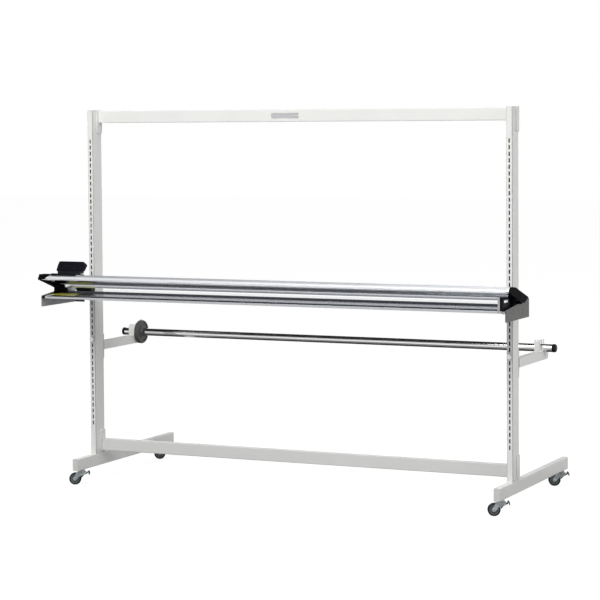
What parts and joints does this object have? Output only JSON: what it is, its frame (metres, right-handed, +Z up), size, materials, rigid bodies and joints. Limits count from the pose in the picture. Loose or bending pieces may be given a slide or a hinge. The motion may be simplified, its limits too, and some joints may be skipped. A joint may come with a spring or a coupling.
{
  "type": "roll stand with cutter",
  "caption": "Wheeled steel frame with slotted uprights, a roll shaft in cradles at the rear and a rotary cutter that slides along a guide rail across the front.",
  "frame": {"origin": "on the floor under the middle of the stand's overall box", "axes": "+X along the beams to the right as seen from the cutter, +Y from the cutter to the rear, +Z up"},
  "size_m": [2.03, 0.9524, 1.5513],
  "materials": {
    "white_paint": "satin powder coat",
    "black_plastic": "moulded, satin",
    "pale_plastic": "moulded, satin",
    "grey_plastic": "moulded, satin",
    "aluminium": "extruded, anodised",
    "grey_plate": "satin paint",
    "bright_steel": "ground",
    "chrome": "polished",
    "zinc": "zinc plated",
    "tyre": "moulded rubber"
  },
  "bodies": {
    "stand": {"upright_left": "white_paint", "upright_cap_left": "white_paint", "saddle_top_left": "white_paint", "saddle_bottom_left": "white_paint", "foot_left": "white_paint", "foot_plug_front_left": "pale_plastic", "foot_plug_rear_left": "pale_plastic", "roll_arm_left": "white_paint", "arm_bolt_left": "pale_plastic", "cutter_bolt_left": "bright_steel", "side_plate_left": "grey_plate", "end_cap_left": "black_plastic", "upright_right": "white_paint", "upright_cap_right": "white_paint", "saddle_top_right": "white_paint", "saddle_bottom_right": "white_paint", "foot_right": "white_paint", "foot_plug_front_right": "pale_plastic", "foot_plug_rear_right": "pale_plastic", "roll_arm_right": "white_paint", "arm_bolt_right": "pale_plastic", "cutter_bolt_right": "bright_steel", "side_plate_right": "grey_plate", "end_cap_right": "black_plastic", "top_beam": "white_paint", "bottom_beam": "white_paint", "cutter_base": "aluminium", "cutting_strip": "bright_steel", "guide_rail": "aluminium", "mouth_strap": "black_plastic", "caster_stem_front_left": "zinc", "caster_stem_front_right": "zinc", "caster_stem_rear_left": "zinc", "caster_stem_rear_right": "zinc"},
    "head": {"head_carriage": "black_plastic", "head_cover": "black_plastic", "blade_holder": "black_plastic"},
    "blade": {"rotary_blade": "bright_steel"},
    "shaft": {"roll_shaft": "chrome", "shaft_cap_left": "black_plastic", "shaft_cap_right": "black_plastic"},
    "flange": {"stop_flange": "grey_plastic", "flange_screw": "bright_steel"},
    "swivel_front_left": {"caster_fork_front_left": "zinc", "caster_axle_front_left": "bright_steel"},
    "wheel_front_left": {"caster_wheel_front_left": "tyre"},
    "pedal_front_left": {"brake_pedal_front_left": "black_plastic"},
    "swivel_front_right": {"caster_fork_front_right": "zinc", "caster_axle_front_right": "bright_steel"},
    "wheel_front_right": {"caster_wheel_front_right": "tyre"},
    "pedal_front_right": {"brake_pedal_front_right": "black_plastic"},
    "swivel_rear_left": {"caster_fork_rear_left": "zinc", "caster_axle_rear_left": "bright_steel"},
    "wheel_rear_left": {"caster_wheel_rear_left": "tyre"},
    "pedal_rear_left": {"brake_pedal_rear_left": "black_plastic"},
    "swivel_rear_right": {"caster_fork_rear_right": "zinc", "caster_axle_rear_right": "bright_steel"},
    "wheel_rear_right": {"caster_wheel_rear_right": "tyre"},
    "pedal_rear_right": {"brake_pedal_rear_right": "black_plastic"}
  },
  "joints": [
    {"name": "head_slide", "type": "slide", "parent": "stand", "child": "head", "axis": [1, 0, 0], "range_m": [-0.0025, 1.79]},
    {"name": "blade_spin", "type": "hinge", "parent": "head", "child": "blade", "pos_m": [-0.9433, -0.32885, 0.8275], "axis": [0, 1, 0], "continuous": true},
    {"name": "shaft_spin", "type": "hinge", "parent": "stand", "child": "shaft", "pos_m": [0, 0.16735, 0.5937], "axis": [1, 0, 0], "continuous": true},
    {"name": "flange_slide", "type": "slide", "parent": "shaft", "child": "flange", "axis": [1, 0, 0], "range_m": [0, 1.789]},
    {"name": "swivel_turn_front_left", "type": "hinge", "parent": "stand", "child": "swivel_front_left", "pos_m": [-0.92, -0.30215, 0.0537], "axis": [0, 0, 1], "continuous": true},
    {"name": "wheel_spin_front_left", "type": "hinge", "parent": "swivel_front_left", "child": "wheel_front_left", "pos_m": [-0.94577, -0.31309, 0.025], "axis": [0.3907, -0.9205, 0], "continuous": true},
    {"name": "pedal_rock_front_left", "type": "hinge", "parent": "swivel_front_left", "child": "pedal_front_left", "pos_m": [-0.90711, -0.29668, 0.0469], "axis": [0.3907, -0.9205, 0], "range_deg": [0, 18]},
    {"name": "swivel_turn_front_right", "type": "hinge", "parent": "stand", "child": "swivel_front_right", "pos_m": [0.92, -0.30215, 0.0537], "axis": [0, 0, 1], "continuous": true},
    {"name": "wheel_spin_front_right", "type": "hinge", "parent": "swivel_front_right", "child": "wheel_front_right", "pos_m": [0.89423, -0.31309, 0.025], "axis": [0.3907, -0.9205, 0], "continuous": true},
    {"name": "pedal_rock_front_right", "type": "hinge", "parent": "swivel_front_right", "child": "pedal_front_right", "pos_m": [0.93289, -0.29668, 0.0469], "axis": [0.3907, -0.9205, 0], "range_deg": [0, 18]},
    {"name": "swivel_turn_rear_left", "type": "hinge", "parent": "stand", "child": "swivel_rear_left", "pos_m": [-0.92, 0.42685, 0.0537], "axis": [0, 0, 1], "continuous": true},
    {"name": "wheel_spin_rear_left", "type": "hinge", "parent": "swivel_rear_left", "child": "wheel_rear_left", "pos_m": [-0.94577, 0.41591, 0.025], "axis": [0.3907, -0.9205, 0], "continuous": true},
    {"name": "pedal_rock_rear_left", "type": "hinge", "parent": "swivel_rear_left", "child": "pedal_rear_left", "pos_m": [-0.90711, 0.43232, 0.0469], "axis": [0.3907, -0.9205, 0], "range_deg": [0, 18]},
    {"name": "swivel_turn_rear_right", "type": "hinge", "parent": "stand", "child": "swivel_rear_right", "pos_m": [0.92, 0.42685, 0.0537], "axis": [0, 0, 1], "continuous": true},
    {"name": "wheel_spin_rear_right", "type": "hinge", "parent": "swivel_rear_right", "child": "wheel_rear_right", "pos_m": [0.89423, 0.41591, 0.025], "axis": [0.3907, -0.9205, 0], "continuous": true},
    {"name": "pedal_rock_rear_right", "type": "hinge", "parent": "swivel_rear_right", "child": "pedal_rear_right", "pos_m": [0.93289, 0.43232, 0.0469], "axis": [0.3907, -0.9205, 0], "range_deg": [0, 18]}
  ],
  "couplings": [
    {"joint": "blade_spin", "follows": "head_slide", "rad_per_m": 44.444}
  ]
}
